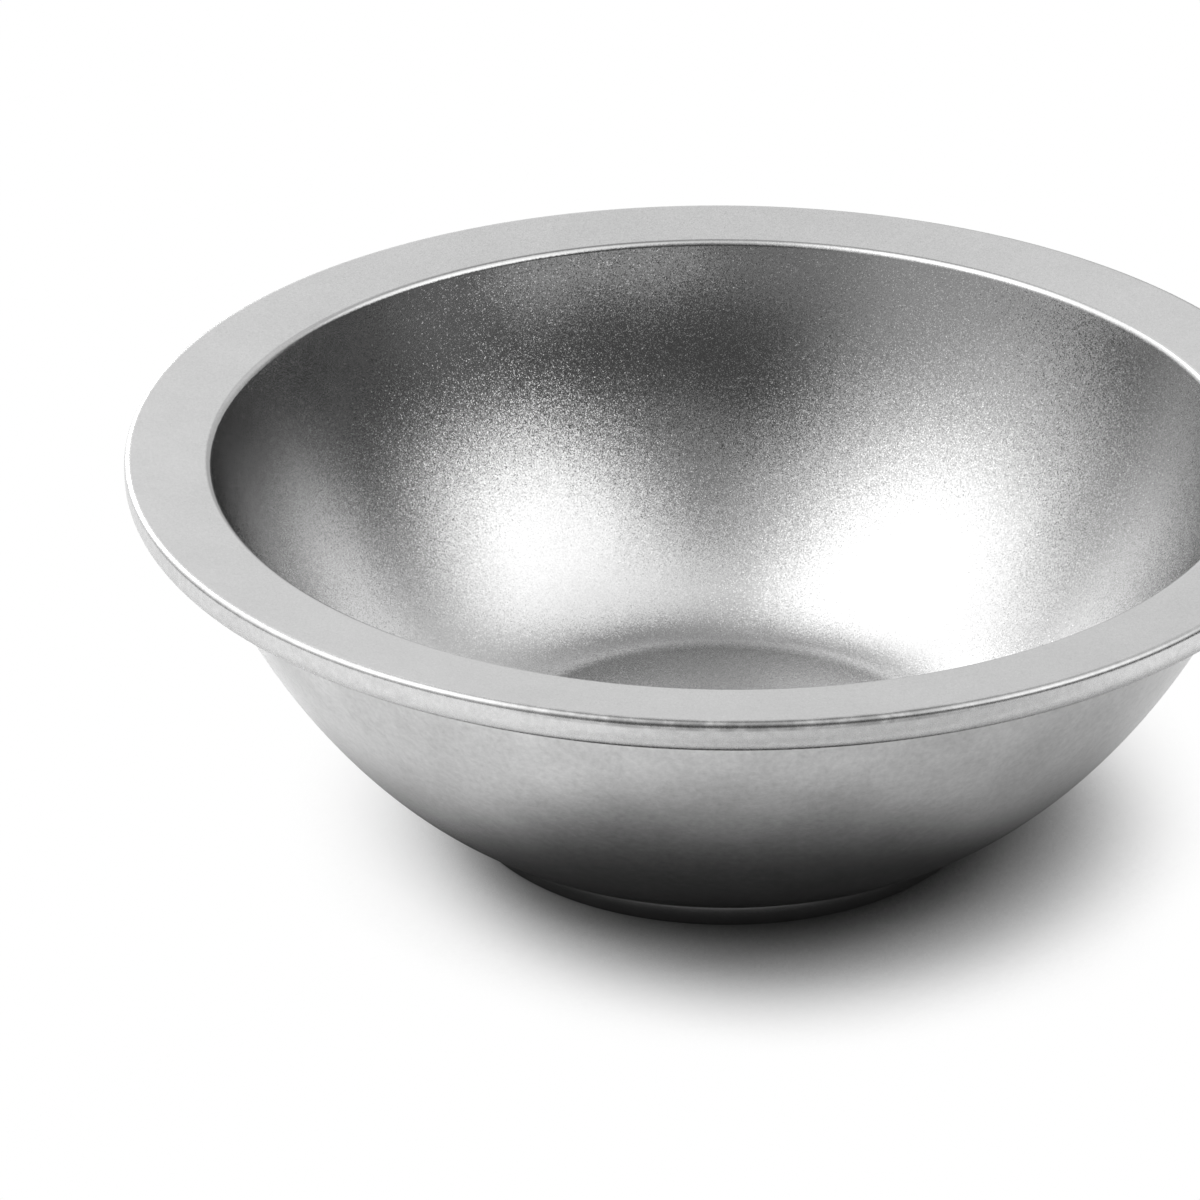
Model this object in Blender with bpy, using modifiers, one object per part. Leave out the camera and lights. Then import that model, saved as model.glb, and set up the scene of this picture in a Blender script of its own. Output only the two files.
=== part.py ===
"""Double-walled steel bowl with a wide flat rim and a turned foot ring.

Units are metres, +Z is up, and the origin is on the bowl's axis where the foot ring stands.
Every piece is round about Z, so each is drawn as an outline in radius and height, and turned.
The two shells are sheet metal: their outline is the side that shows, and the sheet lies behind it.
"""
import math

import bpy

# Overall sizes
HEIGHT = 0.081
RIM_RADIUS = 0.120
OVERHANG = 0.01275          # how far the rim stands out past the top of the wall

# Wall of the outer shell: a smooth curve from under the rim to a flat base
WALL_SLOPE = math.radians(71.8)   # steepness of the wall under the rim
WALL_FULLNESS = 0.585       # how long the wall keeps that slope, as a share of its height
BASE_RADIUS = 0.046         # flat part of the base
BASE_SWEEP = 0.32           # how gently the wall runs into the base, as a share of its reach
BASE_CLEARANCE = 0.0034     # from the table to the base

# Sheets and the air between them
INNER_SHEET = 0.0009
OUTER_SHEET = 0.0008
AIR_GAP = 0.0046

# Rim, in the inner bowl's sheet, with bends given by their inside radius
RIM_DROP = 0.0015           # how much lower the rim is at the throat than at its edge
THROAT_BEND = 0.0007        # from the wall onto the rim
CORNER_BEND = 0.00035       # from the rim down into the edge band
BAND_HEIGHT = 0.00165       # straight part of the edge band
CURL_BEND = 0.0034          # from the band in under the rim
LIP_WIDTH = 0.0030          # flat lip that grips the outer shell's flange
COVE_RADIUS = 0.0040        # from the outer shell's wall out into its flange

# Foot ring, base disc and vent
FOOT_RADIUS = 0.0540
FOOT_WIDTH = 0.0026
FOOT_EDGE = 0.0006          # rounding of the edges that the ring stands between
GROOVE_WIDTH = 0.0006
GROOVE_DEPTH = 0.0003
DISC_THICKNESS = 0.0008
VENT_RADIUS = 0.0015        # hole that lets air out while the rim is welded; the disc closes it

SEAT_GAP = 0.0003           # between pieces that are seated on each other

# Fineness of the turned surfaces
TURN_STEPS = 64
WALL_STEPS = 12
BEND_STEPS = 4
MERGE_DISTANCE = 0.00001
SHARP_ANGLE = math.radians(40)

# Places that follow from the sizes
THROAT_RADIUS = THROAT_BEND + INNER_SHEET
CORNER_RADIUS = CORNER_BEND + INNER_SHEET
CURL_RADIUS = CURL_BEND + INNER_SHEET
WALL_THICKNESS = OUTER_SHEET + AIR_GAP + INNER_SHEET
RIM_UNDERSIDE = HEIGHT - CORNER_RADIUS - BAND_HEIGHT - CURL_RADIUS
FLANGE_HEIGHT = RIM_UNDERSIDE + INNER_SHEET + SEAT_GAP
WALL_TOP = (RIM_RADIUS - OVERHANG, FLANGE_HEIGHT - COVE_RADIUS * (1 - math.cos(WALL_SLOPE)))
WALL_FOOT = (BASE_RADIUS, BASE_CLEARANCE)


def arc(centre, radius, start, end, steps=BEND_STEPS):
    """Points on a circle, from start to end, as angles from straight up, turning outward."""
    turn = [start + (end - start) * step / steps for step in range(steps + 1)]
    return [(centre[0] + radius * math.sin(a), centre[1] + radius * math.cos(a)) for a in turn]


def wall_point(t, inset):
    """Point on the wall's curve, t from 0 under the rim to 1 at the base, moved in by inset."""
    reach = WALL_TOP[0] - WALL_FOOT[0]
    drop = WALL_TOP[1] - WALL_FOOT[1]
    upper = (WALL_TOP[0] - WALL_FULLNESS * drop * math.cos(WALL_SLOPE),
             WALL_TOP[1] - WALL_FULLNESS * drop * math.sin(WALL_SLOPE))
    lower = (WALL_FOOT[0] + BASE_SWEEP * reach, WALL_FOOT[1])
    ends = (WALL_TOP, upper, lower, WALL_FOOT)
    weights = ((1 - t) ** 3, 3 * (1 - t) ** 2 * t, 3 * (1 - t) * t ** 2, t ** 3)
    slopes = (-(1 - t) ** 2, (1 - t) * (1 - 3 * t), t * (2 - 3 * t), t ** 2)
    r, z = (sum(w * p[axis] for w, p in zip(weights, ends)) for axis in (0, 1))
    run_r, run_z = (sum(s * p[axis] for s, p in zip(slopes, ends)) for axis in (0, 1))
    length = math.hypot(run_r, run_z)
    return (r + inset * run_z / length, z - inset * run_r / length)


def wall(inset):
    """The wall's curve from under the rim to the base, moved in by inset."""
    return [wall_point(step / WALL_STEPS, inset) for step in range(WALL_STEPS + 1)]


def under_wall(radius, gap):
    """Point at this radius on the curve that lies gap below the outer shell's underside."""
    if radius <= BASE_RADIUS:
        return (radius, BASE_CLEARANCE - gap)
    low, high = 0.0, 1.0
    while high - low > 1e-7:
        middle = (low + high) / 2
        if wall_point(middle, -gap)[0] > radius:
            low = middle
        else:
            high = middle
    return (radius, wall_point(low, -gap)[1])


def throat_centre():
    """Centre of the bend between the inner wall and the rim, set so that the wall runs into it."""
    height = HEIGHT - RIM_DROP - THROAT_RADIUS
    top_r, top_z = wall_point(0, WALL_THICKNESS)
    rise = height + THROAT_RADIUS * math.cos(WALL_SLOPE) - top_z
    return (top_r + rise / math.tan(WALL_SLOPE) + THROAT_RADIUS * math.sin(WALL_SLOPE), height)


def rim_slope(throat, corner):
    """Slope of the straight line that touches the throat bend and the corner bend from above."""
    reach, rise = corner[0] - throat[0], corner[1] - throat[1]
    return math.atan2(rise, reach) - math.asin((THROAT_RADIUS - CORNER_RADIUS) / math.hypot(reach, rise))


def inner_bowl_outline():
    """From the middle of the floor up the wall, across the rim, down its edge and in under it."""
    throat = throat_centre()
    corner = (RIM_RADIUS - CORNER_RADIUS, HEIGHT - CORNER_RADIUS)
    curl = (RIM_RADIUS - CURL_RADIUS, RIM_UNDERSIDE + CURL_RADIUS)
    slope = rim_slope(throat, corner)
    floor = BASE_CLEARANCE + WALL_THICKNESS
    outline = [(0.0, floor)] + wall(WALL_THICKNESS)[::-1]
    outline += arc(throat, THROAT_RADIUS, -WALL_SLOPE, -slope)
    outline += arc(corner, CORNER_RADIUS, -slope, math.pi / 2)
    outline += arc(curl, CURL_RADIUS, math.pi / 2, math.pi)
    outline.append((curl[0] - LIP_WIDTH, RIM_UNDERSIDE))
    return outline


def outer_shell_outline():
    """From the flange under the rim, round its cove, down the wall and in to the vent."""
    cove = (WALL_TOP[0] + COVE_RADIUS * math.sin(WALL_SLOPE), FLANGE_HEIGHT - COVE_RADIUS)
    outline = [(RIM_RADIUS - CURL_RADIUS, FLANGE_HEIGHT)]
    outline += arc(cove, COVE_RADIUS, 0.0, -WALL_SLOPE)[:-1]
    outline += wall(0.0)
    outline.append((VENT_RADIUS, BASE_CLEARANCE))
    return outline


def foot_ring_outline():
    """Round the ring: down its outer face past the groove, across the face it stands on, and up."""
    inside = FOOT_RADIUS - FOOT_WIDTH
    outer_top = under_wall(FOOT_RADIUS, SEAT_GAP)
    inner_top = under_wall(inside, SEAT_GAP)
    middle = (outer_top[1] + FOOT_EDGE) / 2
    half = GROOVE_WIDTH / 2
    outline = [outer_top, (FOOT_RADIUS, middle + half)]
    outline += [(FOOT_RADIUS - GROOVE_DEPTH, middle + half / 2), (FOOT_RADIUS - GROOVE_DEPTH, middle - half / 2)]
    outline.append((FOOT_RADIUS, middle - half))
    outline += arc((FOOT_RADIUS - FOOT_EDGE, FOOT_EDGE), FOOT_EDGE, math.pi / 2, math.pi, 3)
    outline += arc((inside + FOOT_EDGE, FOOT_EDGE), FOOT_EDGE, math.pi, 1.5 * math.pi, 3)
    outline.append(inner_top)
    return outline


def base_disc_outline():
    """A flat disc that fills the foot ring, drawn from its own underside."""
    radius = FOOT_RADIUS - FOOT_WIDTH - SEAT_GAP
    return [(0.0, DISC_THICKNESS), (radius, DISC_THICKNESS), (radius, 0.0), (0.0, 0.0)]


def steel(name, grey, roughness):
    """Bare stainless steel; the tumbled faces are rougher than the turned ones."""
    material = bpy.data.materials.new(name)
    material.use_nodes = True
    shader = material.node_tree.nodes["Principled BSDF"]
    shader.inputs["Base Color"].default_value = (grey, grey, grey, 1.0)
    shader.inputs["Metallic"].default_value = 1.0
    shader.inputs["Roughness"].default_value = roughness
    material.diffuse_color = (grey, grey, grey, 1.0)
    return material


def turned(name, outline, material, parent, closed=False, sheet=0.0, height=0.0):
    """Turn an outline about Z. A sheet gives it that thickness behind the side that is drawn."""
    mesh = bpy.data.meshes.new(name)
    edges = [(i, i + 1) for i in range(len(outline) - 1)]
    if closed:
        edges.append((len(outline) - 1, 0))
    mesh.from_pydata([(r, 0.0, z) for r, z in outline], edges, [])
    piece = bpy.data.objects.new(name, mesh)
    parent.users_collection[0].objects.link(piece)
    screw = piece.modifiers.new("Turn", "SCREW")
    screw.axis = "Z"
    screw.angle = math.tau
    screw.steps = TURN_STEPS
    screw.render_steps = TURN_STEPS
    screw.use_merge_vertices = True
    screw.merge_threshold = MERGE_DISTANCE
    if sheet:
        solidify = piece.modifiers.new("Sheet", "SOLIDIFY")
        solidify.thickness = sheet
        solidify.offset = -1.0
        solidify.use_even_offset = True
    finish(piece)
    piece.data.materials.append(material)
    piece.parent = parent
    piece.location.z = height
    return piece


def finish(piece):
    """Keep the turned shape as the piece's own mesh, smooth but for its sharp edges."""
    shape = piece.evaluated_get(bpy.context.evaluated_depsgraph_get())
    drawn = piece.data
    piece.data = bpy.data.meshes.new_from_object(shape)
    piece.data.name = drawn.name
    piece.modifiers.clear()
    bpy.data.meshes.remove(drawn)
    piece.data.shade_smooth()
    piece.data.set_sharp_from_angle(angle=SHARP_ANGLE)


def main():
    for old in list(bpy.data.objects):
        bpy.data.objects.remove(old, do_unlink=True)
    collection = bpy.data.collections.new("steel_bowl")
    bpy.context.scene.collection.children.link(collection)
    bowl = bpy.data.objects.new("steel_bowl", None)
    bowl.empty_display_size = RIM_RADIUS
    collection.objects.link(bowl)

    turned("inner_bowl", inner_bowl_outline(), steel("tumbled_steel_inside", 0.60, 0.30), bowl,
           sheet=INNER_SHEET)
    turned("outer_shell", outer_shell_outline(), steel("tumbled_steel_outside", 0.58, 0.34), bowl,
           sheet=OUTER_SHEET)
    turned("foot_ring", foot_ring_outline(), steel("turned_steel", 0.55, 0.25), bowl, closed=True)
    turned("base_disc", base_disc_outline(), steel("plain_steel", 0.56, 0.40), bowl,
           height=BASE_CLEARANCE - SEAT_GAP - DISC_THICKNESS)


main()
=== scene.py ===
"""Looks of the double-walled steel bowl: a tumbled, stone-washed finish, photographed on white."""
import math

import bmesh
import bpy
from mathutils import Matrix, Vector


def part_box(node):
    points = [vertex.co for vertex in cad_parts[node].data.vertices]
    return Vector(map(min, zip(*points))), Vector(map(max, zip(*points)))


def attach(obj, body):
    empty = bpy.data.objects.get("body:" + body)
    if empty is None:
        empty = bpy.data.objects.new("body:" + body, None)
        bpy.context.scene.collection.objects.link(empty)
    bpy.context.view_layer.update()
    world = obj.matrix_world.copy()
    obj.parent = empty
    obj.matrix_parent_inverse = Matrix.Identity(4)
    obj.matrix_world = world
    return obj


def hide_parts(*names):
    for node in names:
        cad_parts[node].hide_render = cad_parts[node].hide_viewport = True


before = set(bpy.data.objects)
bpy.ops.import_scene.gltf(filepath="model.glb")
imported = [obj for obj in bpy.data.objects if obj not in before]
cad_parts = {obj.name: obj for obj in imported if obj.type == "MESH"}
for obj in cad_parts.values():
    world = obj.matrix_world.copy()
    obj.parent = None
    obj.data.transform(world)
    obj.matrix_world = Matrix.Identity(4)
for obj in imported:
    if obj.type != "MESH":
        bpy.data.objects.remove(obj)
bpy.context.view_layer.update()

# Sizes that the part is built to, in metres
RIM_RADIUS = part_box("inner_bowl")[1].x
HEIGHT = 0.081
OVERHANG = 0.01275
WALL_SLOPE = math.radians(71.8)
WALL_FULLNESS = 0.585
BASE_RADIUS = 0.046
BASE_SWEEP = 0.32
BASE_CLEARANCE = 0.0034
INNER_SHEET = 0.0009
OUTER_SHEET = 0.0008
AIR_GAP = 0.0046
RIM_DROP = 0.0015
THROAT_BEND = 0.0007
CORNER_BEND = 0.00035
BAND_HEIGHT = 0.00165
CURL_BEND = 0.0034
LIP_WIDTH = 0.0030
COVE_RADIUS = 0.0040
FOOT_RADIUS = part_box("foot_ring")[1].x
FOOT_WIDTH = 0.0026
FOOT_EDGE = 0.0006
DISC_THICKNESS = 0.0008
VENT_RADIUS = 0.0015
SEAT_GAP = 0.0003

# Places that follow from the sizes
THROAT_RADIUS = THROAT_BEND + INNER_SHEET
CORNER_RADIUS = CORNER_BEND + INNER_SHEET
CURL_RADIUS = CURL_BEND + INNER_SHEET
WALL_THICKNESS = OUTER_SHEET + AIR_GAP + INNER_SHEET
RIM_UNDERSIDE = HEIGHT - CORNER_RADIUS - BAND_HEIGHT - CURL_RADIUS
FLANGE_HEIGHT = RIM_UNDERSIDE + INNER_SHEET + SEAT_GAP
WALL_TOP = (RIM_RADIUS - OVERHANG, FLANGE_HEIGHT - COVE_RADIUS * (1 - math.cos(WALL_SLOPE)))
WALL_FOOT = (BASE_RADIUS, BASE_CLEARANCE)

# Fineness of the turned surfaces
TURN_STEPS = 256
WALL_STEPS = 48
BEND_STEPS = 10
RUN_STEPS = 4
SUPPORT = 0.00008           # from a bend's end to the next ring on a straight stretch
CUT_EDGE = 0.00012          # rounding of a cut or turned edge
FOOT_CUT = 0.00005          # rounding of the foot ring's edges
CUT_STEPS = 2
SHARP_ANGLE = math.radians(50)
SMALL = 1e-7

# Sizes of the grain of the tumbled steel and of the turned steel, in metres
FLAT_SIZE = 0.00018
PIT_SIZE = 0.0006
SCRATCH_SIZE = 0.00034
SCRATCH_STRETCH = 7.0
SCRATCH_TURNS = ((0, 20, 15), (0, -35, 75), (25, 10, 135))
MOTTLE_SIZE = 0.0014
# Size of the breaks in the painted shade along the worn corner's front
CORNER_SHADE_SIZE = 0.004
WAVE_SIZE = 0.00625
WAVE_DEPTH = 10e-6
CLOUD_SIZE = 1 / 60
RING_PITCH = 0.00025
SMUDGE_SIZE = 1 / 120

# Where the tumbled finish changes: each fades in from the first bound to the second, in metres
RIM_HEIGHTS = (0.0775, 0.0795)
FLOOR_HEIGHTS = (0.0106, 0.0098)
WORN_RADII = (0.1180, 0.1192)
# Where the painted shade on the worn corner lies: its heights, and its reach to the left, the right
# and the front
CORNER_HEIGHTS = (0.0792, 0.0798)
CORNER_SHADE_LEFT = (-0.045, -0.02)
CORNER_SHADE_RIGHT = (0.06, 0.03)
CORNER_SHADE_FRONT = (0.0, -0.08)

# How much it changes there
RIM_CALM = 0.6              # the rim's flats lean less than the wall's
WORN_CALM = 0.85            # and those on its worn edge hardly lean
WORN_DULL = 0.16            # the worn edge is rougher
WORN_MOTTLE = 0.3           # and more mottled
FLOOR_GRAIN = 1.5           # the flats on the floor differ more in tone
CORNER_SHADE_DARK = 0.42           # painted shade: the worn corner is darker along the front, standing in for the dark it mirrors there


def arc(centre, radius, start, end, steps=BEND_STEPS):
    """Points on a circle, from start to end, as angles from straight up, turning outward."""
    turn = [start + (end - start) * step / steps for step in range(steps + 1)]
    return [(centre[0] + radius * math.sin(a), centre[1] + radius * math.cos(a)) for a in turn]


def run(start, end):
    """Points inside a straight stretch, close to both ends and evenly between."""
    length = math.hypot(end[0] - start[0], end[1] - start[1])
    even = [step / RUN_STEPS for step in range(1, RUN_STEPS)]
    shares = [SUPPORT / length] + even + [1 - SUPPORT / length]
    return [(start[0] + (end[0] - start[0]) * t, start[1] + (end[1] - start[1]) * t)
            for t in shares]


def wall_point(t, inset):
    """Point on the wall's curve, t from 0 under the rim to 1 at the base, moved in by inset."""
    reach = WALL_TOP[0] - WALL_FOOT[0]
    drop = WALL_TOP[1] - WALL_FOOT[1]
    upper = (WALL_TOP[0] - WALL_FULLNESS * drop * math.cos(WALL_SLOPE),
             WALL_TOP[1] - WALL_FULLNESS * drop * math.sin(WALL_SLOPE))
    lower = (WALL_FOOT[0] + BASE_SWEEP * reach, WALL_FOOT[1])
    ends = (WALL_TOP, upper, lower, WALL_FOOT)
    weights = ((1 - t) ** 3, 3 * (1 - t) ** 2 * t, 3 * (1 - t) * t ** 2, t ** 3)
    slopes = (-(1 - t) ** 2, (1 - t) * (1 - 3 * t), t * (2 - 3 * t), t ** 2)
    r, z = (sum(w * p[axis] for w, p in zip(weights, ends)) for axis in (0, 1))
    run_r, run_z = (sum(s * p[axis] for s, p in zip(slopes, ends)) for axis in (0, 1))
    length = math.hypot(run_r, run_z)
    return (r + inset * run_z / length, z - inset * run_r / length)


def wall(inset):
    """The wall's curve from under the rim to the base, moved in by inset."""
    return [wall_point(step / WALL_STEPS, inset) for step in range(WALL_STEPS + 1)]


def under_wall(radius, gap):
    """Point at this radius on the curve that lies gap below the outer shell's underside."""
    low, high = 0.0, 1.0
    while high - low > SMALL:
        middle = (low + high) / 2
        if wall_point(middle, -gap)[0] > radius:
            low = middle
        else:
            high = middle
    return (radius, wall_point(low, -gap)[1])


def offset(outline, distance):
    """The outline moved to its right by distance, each point along the mean of its two normals."""
    moved = []
    for before, here, after in zip(outline[:1] + outline, outline, outline[1:] + outline[-1:]):
        normals = []
        for a, b in ((before, here), (here, after)):
            length = math.hypot(b[0] - a[0], b[1] - a[1])
            if length > SMALL:
                normals.append(((b[1] - a[1]) / length, (a[0] - b[0]) / length))
        nr, nz = (sum(n[axis] for n in normals) / len(normals) for axis in (0, 1))
        square = nr * nr + nz * nz
        moved.append((max(here[0] + distance * nr / square, 0.0), here[1] + distance * nz / square))
    return moved


def inner_bowl_outline():
    """The food side, from the floor to the lip, then back along the sheet's other side."""
    height = HEIGHT - RIM_DROP - THROAT_RADIUS
    top_r, top_z = wall_point(0, WALL_THICKNESS)
    rise = height + THROAT_RADIUS * math.cos(WALL_SLOPE) - top_z
    throat = (top_r + rise / math.tan(WALL_SLOPE) + THROAT_RADIUS * math.sin(WALL_SLOPE), height)
    corner = (RIM_RADIUS - CORNER_RADIUS, HEIGHT - CORNER_RADIUS)
    curl = (RIM_RADIUS - CURL_RADIUS, RIM_UNDERSIDE + CURL_RADIUS)
    reach, climb = corner[0] - throat[0], corner[1] - throat[1]
    narrowing = math.asin((THROAT_RADIUS - CORNER_RADIUS) / math.hypot(reach, climb))
    slope = math.atan2(climb, reach) - narrowing
    stretches = [
        [(0.0, BASE_CLEARANCE + WALL_THICKNESS)],
        wall(WALL_THICKNESS)[::-1],
        arc(throat, THROAT_RADIUS, -WALL_SLOPE, -slope),
        arc(corner, CORNER_RADIUS, -slope, math.pi / 2),
        arc(curl, CURL_RADIUS, math.pi / 2, math.pi),
        [(curl[0] - LIP_WIDTH, RIM_UNDERSIDE)],
    ]
    return two_sided(stretches, INNER_SHEET)


def outer_shell_outline():
    """From the flange under the rim, round its cove, down the wall and in to the vent, and back."""
    cove = (WALL_TOP[0] + COVE_RADIUS * math.sin(WALL_SLOPE), FLANGE_HEIGHT - COVE_RADIUS)
    stretches = [
        [(RIM_RADIUS - CURL_RADIUS, FLANGE_HEIGHT)],
        arc(cove, COVE_RADIUS, 0.0, -WALL_SLOPE)[:-1] + wall(0.0),
        [(VENT_RADIUS, BASE_CLEARANCE)],
    ]
    return two_sided(stretches, OUTER_SHEET)


def two_sided(stretches, sheet):
    """Join curved stretches by straight runs, and come back along the sheet's hidden side."""
    front = list(stretches[0])
    for stretch in stretches[1:]:
        front += run(front[-1], stretch[0]) + stretch
    return front + offset(front, sheet)[::-1]


def foot_ring_outline():
    """Round the ring: down its outer face, across the face it stands on, and up."""
    inside = FOOT_RADIUS - FOOT_WIDTH
    outer_top = under_wall(FOOT_RADIUS, SEAT_GAP)
    inner_top = under_wall(inside, SEAT_GAP)
    outline = [outer_top]
    outline += arc((FOOT_RADIUS - FOOT_EDGE, FOOT_EDGE), FOOT_EDGE, math.pi / 2, math.pi)
    outline += arc((inside + FOOT_EDGE, FOOT_EDGE), FOOT_EDGE, math.pi, 1.5 * math.pi)
    outline += [inner_top]
    return outline


def base_disc_outline():
    """A flat disc inside the foot ring, under the outer shell's base."""
    top = BASE_CLEARANCE - SEAT_GAP
    radius = FOOT_RADIUS - FOOT_WIDTH - SEAT_GAP
    return [(0.0, top), (radius, top), (radius, top - DISC_THICKNESS), (0.0, top - DISC_THICKNESS)]


def turned(node, outline, material, cut=CUT_EDGE):
    """Spin an outline about Z into the piece that stands for a CAD node, with its edges rounded."""
    bm = bmesh.new()
    verts = [bm.verts.new((r, 0.0, z)) for r, z in outline]
    pairs = list(zip(verts, verts[1:]))
    if outline[0][0] > 0:
        pairs.append((verts[-1], verts[0]))
    edges = [bm.edges.new(pair) for pair in pairs]
    bmesh.ops.spin(bm, geom=verts + edges, cent=(0, 0, 0), axis=(0, 0, 1), dvec=(0, 0, 0),
                   angle=math.tau, steps=TURN_STEPS, use_merge=True)
    bmesh.ops.remove_doubles(bm, verts=bm.verts, dist=SMALL)
    bmesh.ops.recalc_face_normals(bm, faces=bm.faces)
    sharp = [e for e in bm.edges if e.is_manifold and e.calc_face_angle() > SHARP_ANGLE]
    bmesh.ops.bevel(bm, geom=sharp, offset=cut, segments=CUT_STEPS, profile=0.5,
                    affect="EDGES", material=-1, clamp_overlap=True)
    mesh = bpy.data.meshes.new(node)
    bm.to_mesh(mesh)
    bm.free()
    mesh.shade_smooth()
    mesh.materials.append(material)
    piece = bpy.data.objects.new("turned_" + node, mesh)
    bpy.context.scene.collection.objects.link(piece)
    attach(piece, "root")
    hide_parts(node)


class Value:
    """A number that varies over a surface: a socket that takes part in sums."""

    def __init__(self, tree, socket):
        self.tree = tree
        self.socket = socket

    def sum(self, operation, *others):
        node = self.tree.nodes.new("ShaderNodeMath")
        node.operation = operation
        for slot, item in zip(node.inputs, others):
            if isinstance(item, Value):
                self.tree.links.new(item.socket, slot)
            else:
                slot.default_value = item
        return Value(self.tree, node.outputs[0])

    def __add__(self, other):
        return self.sum("ADD", self, other)

    def __radd__(self, other):
        return self.sum("ADD", other, self)

    def __sub__(self, other):
        return self.sum("SUBTRACT", self, other)

    def __rsub__(self, other):
        return self.sum("SUBTRACT", other, self)

    def __mul__(self, other):
        return self.sum("MULTIPLY", self, other)

    def __rmul__(self, other):
        return self.sum("MULTIPLY", other, self)

    def below(self, limit):
        """1 where the value is below the limit, and 0 elsewhere."""
        return self.sum("LESS_THAN", self, limit)

    def faded(self, none, full):
        """0 up to none, 1 from full on, and a smooth rise between them."""
        node = self.tree.nodes.new("ShaderNodeMapRange")
        node.interpolation_type = "SMOOTHSTEP"
        self.tree.links.new(self.socket, node.inputs["Value"])
        node.inputs["From Min"].default_value = none
        node.inputs["From Max"].default_value = full
        return Value(self.tree, node.outputs["Result"])


class Finish:
    """A material's or world's node tree, cleared but for its output."""

    def __init__(self, owner, output):
        owner.use_nodes = True
        self.owner = owner
        self.tree = owner.node_tree
        self.tree.nodes.clear()
        self.output = self.tree.nodes.new(output)

    def node(self, kind, settings=None, sockets=None):
        """A node with its settings set first, then its sockets, each set or linked."""
        made = self.tree.nodes.new(kind)
        for name, value in (settings or {}).items():
            setattr(made, name, value)
        for name, value in (sockets or {}).items():
            if isinstance(value, Value):
                value = value.socket
            if isinstance(value, bpy.types.NodeSocket):
                self.tree.links.new(value, made.inputs[name])
            else:
                made.inputs[name].default_value = value
        return made

    def value(self, socket):
        return Value(self.tree, socket)

    def noise(self, place, size, detail=2.0, roughness=0.5):
        """Noise whose largest marks are about as large as size."""
        made = self.node("ShaderNodeTexNoise", {"noise_dimensions": "3D"}, {
            "Vector": place, "Scale": 1 / size, "Detail": detail, "Roughness": roughness})
        return self.value(made.outputs["Fac"])

    def vector(self, operation, *terms, output="Vector"):
        made = self.node("ShaderNodeVectorMath", {"operation": operation}, dict(enumerate(terms)))
        return made.outputs[output]

    def axes(self, vector):
        """The three numbers of a vector."""
        made = self.node("ShaderNodeSeparateXYZ", None, {"Vector": vector})
        return [self.value(made.outputs[axis]) for axis in "XYZ"]

    def grey(self, tone):
        made = self.node("ShaderNodeCombineColor", None, {"Red": tone, "Green": tone, "Blue": tone})
        return made.outputs["Color"]

    def end(self, shader, socket="Surface"):
        self.tree.links.new(shader.outputs[0], self.output.inputs[socket])
        return self.owner


def from_axis(finish, place):
    """Distance from the bowl's axis."""
    flat = finish.vector("MULTIPLY", place, (1.0, 1.0, 0.0))
    return finish.value(finish.vector("LENGTH", flat, output="Value"))


def scratches(finish, place, turn):
    """A streaky pattern: noise drawn out along one direction, turned by three angles."""
    laid = finish.node("ShaderNodeMapping", {"vector_type": "TEXTURE"}, {
        "Vector": place, "Rotation": [math.radians(angle) for angle in turn],
        "Scale": (1.0, SCRATCH_STRETCH, 1.0)})
    return finish.noise(laid.outputs["Vector"], SCRATCH_SIZE, 1.0)


def tiny_flats(finish, place, share, lean, steep):
    """For each of many tiny flats a normal and a chance from -0.5 to 0.5.

    The flats lean by chance, by up to half of lean, and a few by up to half of steep more.
    """
    cells = finish.node("ShaderNodeTexVoronoi", {"voronoi_dimensions": "3D", "feature": "F1"}, {
        "Vector": place, "Scale": 1 / FLAT_SIZE})
    chance = finish.vector("SUBTRACT", cells.outputs["Color"], (0.5, 0.5, 0.5))
    squared = finish.vector("MULTIPLY", chance, chance)
    fifth = finish.vector("MULTIPLY", finish.vector("MULTIPLY", squared, squared), chance)
    slight = finish.vector("MULTIPLY", chance, (lean, lean, lean))
    strong = finish.vector("MULTIPLY", fifth, (16 * steep, 16 * steep, 16 * steep))
    tilt = finish.node("ShaderNodeVectorMath", {"operation": "SCALE"}, {
        0: finish.vector("ADD", slight, strong), "Scale": share}).outputs["Vector"]
    normal = finish.node("ShaderNodeNewGeometry").outputs["Normal"]
    leaning = finish.vector("NORMALIZE", finish.vector("ADD", normal, tilt))
    return leaning, finish.axes(chance)[2]


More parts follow.
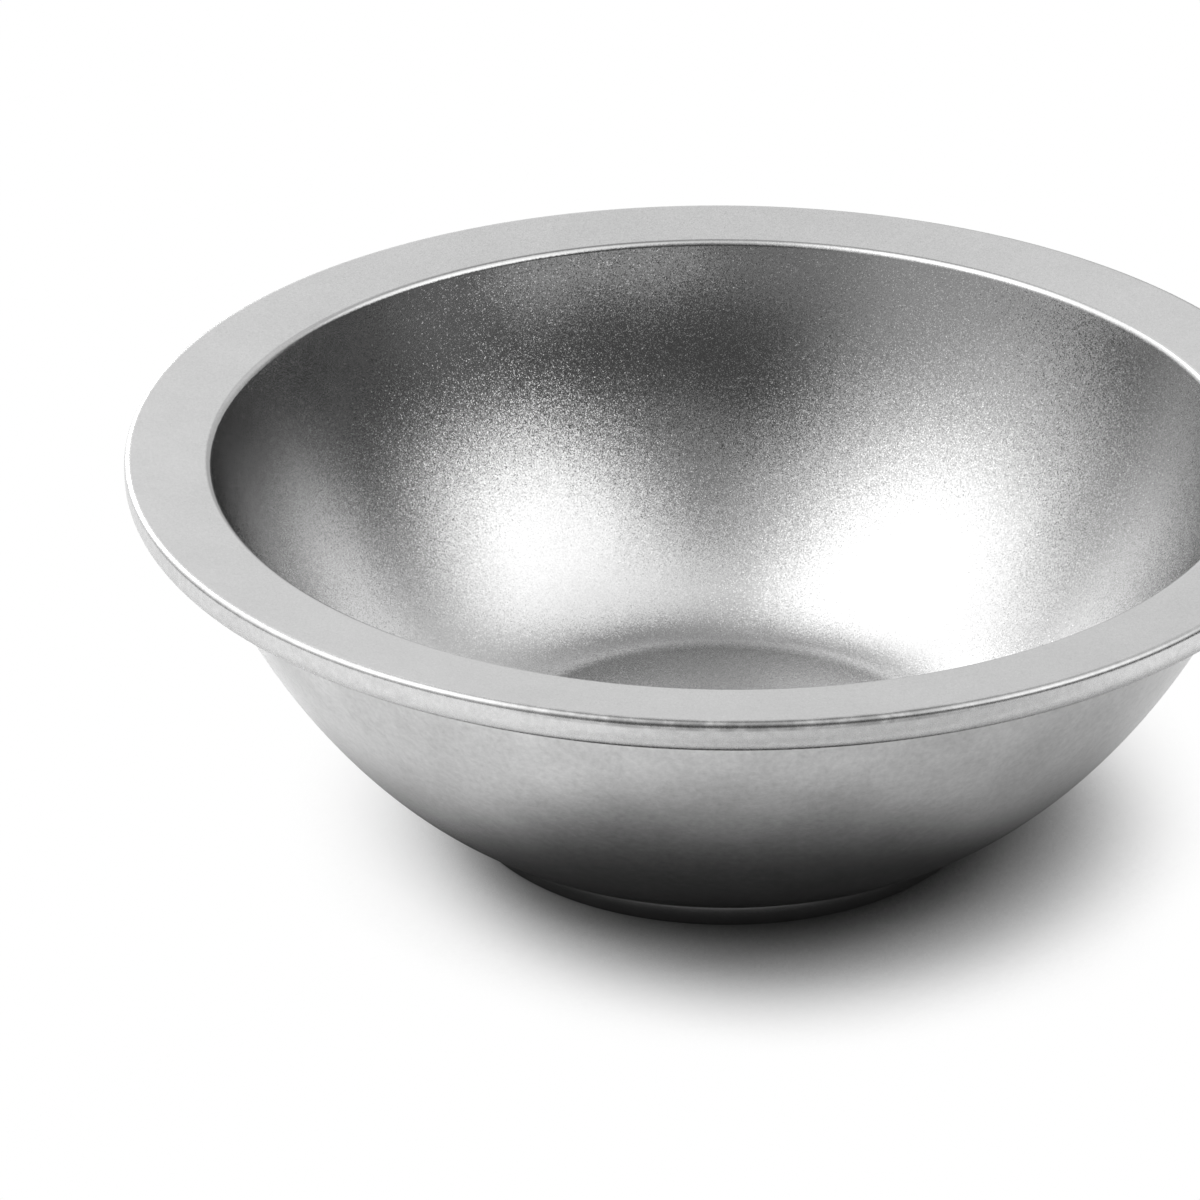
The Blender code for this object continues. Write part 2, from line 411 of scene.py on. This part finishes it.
def tumbled_steel(name, grey, edge_tint, roughness, lean, steep, depth, speckle, cloudy, mottle):
    """Steel tumbled with stones: tiny flats that glint on their own, under short scratches."""
    finish = Finish(bpy.data.materials.new(name), "ShaderNodeOutputMaterial")
    place = finish.node("ShaderNodeTexCoord").outputs["Object"]
    across, back, height = finish.axes(place)
    worn = from_axis(finish, place).faded(*WORN_RADII)
    calm = (1 - RIM_CALM * height.faded(*RIM_HEIGHTS)) * (1 - WORN_CALM * worn)
    flats, chance = tiny_flats(finish, place, calm, lean, steep)
    pits = finish.noise(place, PIT_SIZE, 2.0, 0.6)
    waves = finish.noise(place, WAVE_SIZE)
    clouds = finish.noise(place, CLOUD_SIZE, 3.0, 0.6)
    mottled = finish.noise(place, MOTTLE_SIZE, 2.0, 0.6)
    crossed = sum(scratches(finish, place, turn) for turn in SCRATCH_TURNS)
    bump = finish.node("ShaderNodeBump", None, {
        "Height": pits * depth + crossed * (0.5 * depth) + waves * WAVE_DEPTH,
        "Strength": 1.0, "Distance": 1.0, "Normal": flats})
    dull = pits.faded(0.38, 0.62)
    grain = speckle * (1 + FLOOR_GRAIN * height.faded(*FLOOR_HEIGHTS)) * chance
    # Painted shade: along the front, the worn corner's colour is darkened where it mirrors dark
    # surroundings, and noise breaks it into patches
    in_front = (across.faded(*CORNER_SHADE_LEFT) * across.faded(*CORNER_SHADE_RIGHT)
                * back.faded(*CORNER_SHADE_FRONT))
    broken = finish.noise(place, CORNER_SHADE_SIZE, 3.0, 0.6).faded(0.25, 0.6)
    painted_corner_shade = worn * height.faded(*CORNER_HEIGHTS) * in_front * broken
    tone = (1 + cloudy * (clouds - 0.5) + (mottle + WORN_MOTTLE * worn) * (mottled - 0.5)
            + calm * (grain + 0.03 * (0.5 - dull)))
    shader = finish.node("ShaderNodeBsdfPrincipled", None, {
        "Base Color": finish.grey(grey * tone * (1 - CORNER_SHADE_DARK * painted_corner_shade)),
        "Metallic": 1.0,
        "Specular Tint": (edge_tint, edge_tint, edge_tint, 1.0),
        "Roughness": roughness * (0.8 + 0.4 * dull) + WORN_DULL * worn,
        "Normal": bump.outputs["Normal"],
    })
    return finish.end(shader)


def turned_steel(name, grey, roughness, groove_depth):
    """Steel from the lathe: fine rings round the axis, seen on flat faces and on round ones."""
    finish = Finish(bpy.data.materials.new(name), "ShaderNodeOutputMaterial")
    place = finish.node("ShaderNodeTexCoord").outputs["Object"]
    radius = from_axis(finish, place)
    height = finish.axes(place)[2]
    rings = finish.value(finish.node("ShaderNodeTexNoise", {"noise_dimensions": "1D"}, {
        "W": radius - height, "Scale": 1 / RING_PITCH, "Detail": 2.0, "Roughness": 0.6,
    }).outputs["Fac"])
    smudges = finish.noise(place, SMUDGE_SIZE)
    bump = finish.node("ShaderNodeBump", None, {
        "Height": rings * groove_depth, "Strength": 1.0, "Distance": 1.0})
    shader = finish.node("ShaderNodeBsdfPrincipled", None, {
        "Base Color": finish.grey(grey * (0.95 + 0.06 * rings + 0.04 * smudges)),
        "Metallic": 1.0,
        "Roughness": roughness * (0.85 + 0.3 * smudges),
        "Normal": bump.outputs["Normal"],
    })
    return finish.end(shader)


# The table and the room
FLOOR_REACH = 3.0
SHADE_REACH = 0.05          # the bowl shades the table this near to it
SHADE_SAMPLES = 16
SHADE_LEFT = (0.02, -0.07)  # the shade thins out from the first x to the second
SHADE_THINNED = 0.17
MIRRORED_LEAST = 0.12       # the least grey of the painted shade under the bowl, in the table as the steel mirrors it
# Painted shade in the table as the steel mirrors it: thinner to the sides, darker in front
MIRRORED_SIDE = (0.02, 0.07)
MIRRORED_THINNED = 0.22
MIRRORED_FRONT = (-0.135, -0.175)
MIRRORED_FRONT_LEFT = (-0.09, -0.03)
MIRRORED_FRONT_DARK = 0.27
TABLE_UNSEEN = 0.3          # the table's grey for light that it throws back by itself
ROOM_LIGHT = 0.07


def table_material():
    """A pale table, white where it lies open. Its shade close under the bowl is partly the lamps'
    real shadow and partly painted shade from an Ambient Occlusion ramp.
    """
    finish = Finish(bpy.data.materials.new("pale_table"), "ShaderNodeOutputMaterial")
    path = finish.node("ShaderNodeLightPath")
    camera, glossy, through, bounced = (finish.value(path.outputs[name]) for name in (
        "Is Camera Ray", "Is Glossy Ray", "Is Transmission Ray", "Diffuse Depth"))
    mirrored = (glossy + through) * bounced.below(0.5)
    nearby = finish.node("ShaderNodeAmbientOcclusion", {"samples": SHADE_SAMPLES}, {
        "Distance": SHADE_REACH})
    openness = finish.value(nearby.outputs["AO"])
    across, back, _ = finish.axes(finish.node("ShaderNodeTexCoord").outputs["Object"])
    # Painted shade: the table's colour follows how open it is under the bowl, thinned out towards
    # the left
    lit = openness + SHADE_THINNED * across.faded(*SHADE_LEFT)
    # The table as the steel mirrors it: painted shade under the bowl, lighter to the sides and
    # darker in front
    aside = (across * across).faded(*(bound ** 2 for bound in MIRRORED_SIDE))
    beside = openness + MIRRORED_THINNED * aside
    before = back.faded(*MIRRORED_FRONT) * across.faded(*MIRRORED_FRONT_LEFT)
    seen = (MIRRORED_LEAST + (1 - MIRRORED_LEAST) * beside.faded(0.35, 0.95)) * (
        1 - MIRRORED_FRONT_DARK * before)
    tone = (camera * lit.faded(0.05, 0.5) + mirrored * seen
            + (1 - camera - mirrored) * TABLE_UNSEEN)
    shaded = finish.node("ShaderNodeBsdfDiffuse", None, {"Color": finish.grey(tone)})
    white = finish.node("ShaderNodeEmission", None, {"Color": (1, 1, 1, 1), "Strength": 1.0})
    shader = finish.node("ShaderNodeMixShader", None, {
        0: camera * lit.faded(0.30, 0.70), 1: shaded.outputs[0], 2: white.outputs[0]})
    return finish.end(shader)


# Round lights in the sky: azimuth, elevation, even up to, faded at, strength
SOFT_LIGHTS = (
    (102, 56, 3, 39, 0.95),
    (116, 45, 11, 19, 0.30),
    (83, 38, 4, 27, 0.27),
    (-87, 53, 9, 54, 0.58),
    (-88, 54, 4, 37, 0.87),
    (-70, 21, 8, 19, 0.22),
    (47, 81, 48, 65, 0.22),
    (-31, 17, 1, 41, 0.99),
    (28, 19, 0, 46, 0.51),
    (139, 3, 1, 19, 0.30),
    (162, 3, 3, 20, 0.32),
    (-174, 3, 4, 22, 0.15),
    (113, 3, 1, 24, 0.07),
    (-125, 57, 21, 36, 0.16),
    (-117, 13, 1, 54, 0.31),
    (-35, 25, 3, 14, 2.25),
    (-30, 17, 3, 13, 16.00),
    (-38, 36, 3, 13, 0.60),
)


def floor():
    bm = bmesh.new()
    bmesh.ops.create_grid(bm, x_segments=1, y_segments=1, size=FLOOR_REACH)
    mesh = bpy.data.meshes.new("table")
    bm.to_mesh(mesh)
    bm.free()
    mesh.materials.append(table_material())
    table = bpy.data.objects.new("table", mesh)
    bpy.context.scene.collection.objects.link(table)


def toward(azimuth, elevation):
    """Direction from the bowl: azimuth 0 is behind it, 90 to its right and 180 at the camera."""
    a, e = math.radians(azimuth), math.radians(elevation)
    return Vector((math.sin(a) * math.cos(e), math.cos(a) * math.cos(e), math.sin(e)))


def soft_light(finish, direction, azimuth, elevation, full, faded, strength):
    """A round light in the sky, even up to the angle full from its middle and gone at faded."""
    facing = finish.value(finish.vector(
        "DOT_PRODUCT", direction, toward(azimuth, elevation), output="Value"))
    return strength * facing.faded(math.cos(math.radians(faded)), math.cos(math.radians(full)))


def studio():
    """Soft light from broad round lights. Where the camera looks past the table it sees white."""
    finish = Finish(bpy.data.worlds.new("studio"), "ShaderNodeOutputWorld")
    direction = finish.node("ShaderNodeTexCoord").outputs["Generated"]
    light = ROOM_LIGHT + sum(soft_light(finish, direction, *lamp) for lamp in SOFT_LIGHTS)
    camera = finish.value(finish.node("ShaderNodeLightPath").outputs["Is Camera Ray"])
    shader = finish.node("ShaderNodeBackground", None, {
        "Color": (1, 1, 1, 1), "Strength": camera + (1 - camera) * light})
    bpy.context.scene.world = finish.end(shader)


# The photograph's viewpoint: a long lens aimed at the rim's centre, then turned a little
VIEW_DISTANCE = 1.1
VIEW_ELEVATION = math.radians(25.42)
VIEW_PAN = math.radians(1.31)
VIEW_TILT = math.radians(1.68)
VIEW_ROLL = math.radians(0.54)
PHOTO_WIDTH = 1200
FOCAL_PIXELS = 5499.42
SENSOR_WIDTH = 36.0


def camera():
    centre = Vector((0, 0, HEIGHT))
    outward = Vector((0, -math.cos(VIEW_ELEVATION), math.sin(VIEW_ELEVATION)))
    place = centre + VIEW_DISTANCE * outward
    ahead = (centre - place).normalized()
    right = Vector((1, 0, 0))
    down = ahead.cross(right)
    level = Matrix((right, down, ahead))
    turn = (Matrix.Rotation(VIEW_PAN, 3, "Y") @ Matrix.Rotation(VIEW_TILT, 3, "X")
            @ Matrix.Rotation(VIEW_ROLL, 3, "Z") @ level)
    data = bpy.data.cameras.new("camera")
    data.sensor_width = SENSOR_WIDTH
    data.lens = FOCAL_PIXELS / PHOTO_WIDTH * SENSOR_WIDTH
    made = bpy.data.objects.new("camera", data)
    axes = Matrix((turn[0], -turn[1], -turn[2])).transposed()
    made.matrix_world = Matrix.Translation(place) @ axes.to_4x4()
    bpy.context.scene.collection.objects.link(made)
    bpy.context.scene.camera = made


turned("inner_bowl", inner_bowl_outline(), tumbled_steel(
    "tumbled_inside", grey=0.655, edge_tint=0.9, roughness=0.12, lean=0.045, steep=0.24,
    depth=8e-6, speckle=0.14, cloudy=0.13, mottle=0.06))
turned("outer_shell", outer_shell_outline(), tumbled_steel(
    "tumbled_outside", grey=0.65, edge_tint=1.0, roughness=0.14, lean=0.006, steep=0.02,
    depth=8e-6, speckle=0.02, cloudy=0.45, mottle=0.42))
turned("foot_ring", foot_ring_outline(), turned_steel(
    "turned_foot", grey=0.60, roughness=0.20, groove_depth=5e-6), cut=FOOT_CUT)
turned("base_disc", base_disc_outline(), turned_steel(
    "plain_disc", grey=0.60, roughness=0.28, groove_depth=4e-6))

floor()
studio()
camera()
bpy.context.scene.view_settings.view_transform = "Standard"
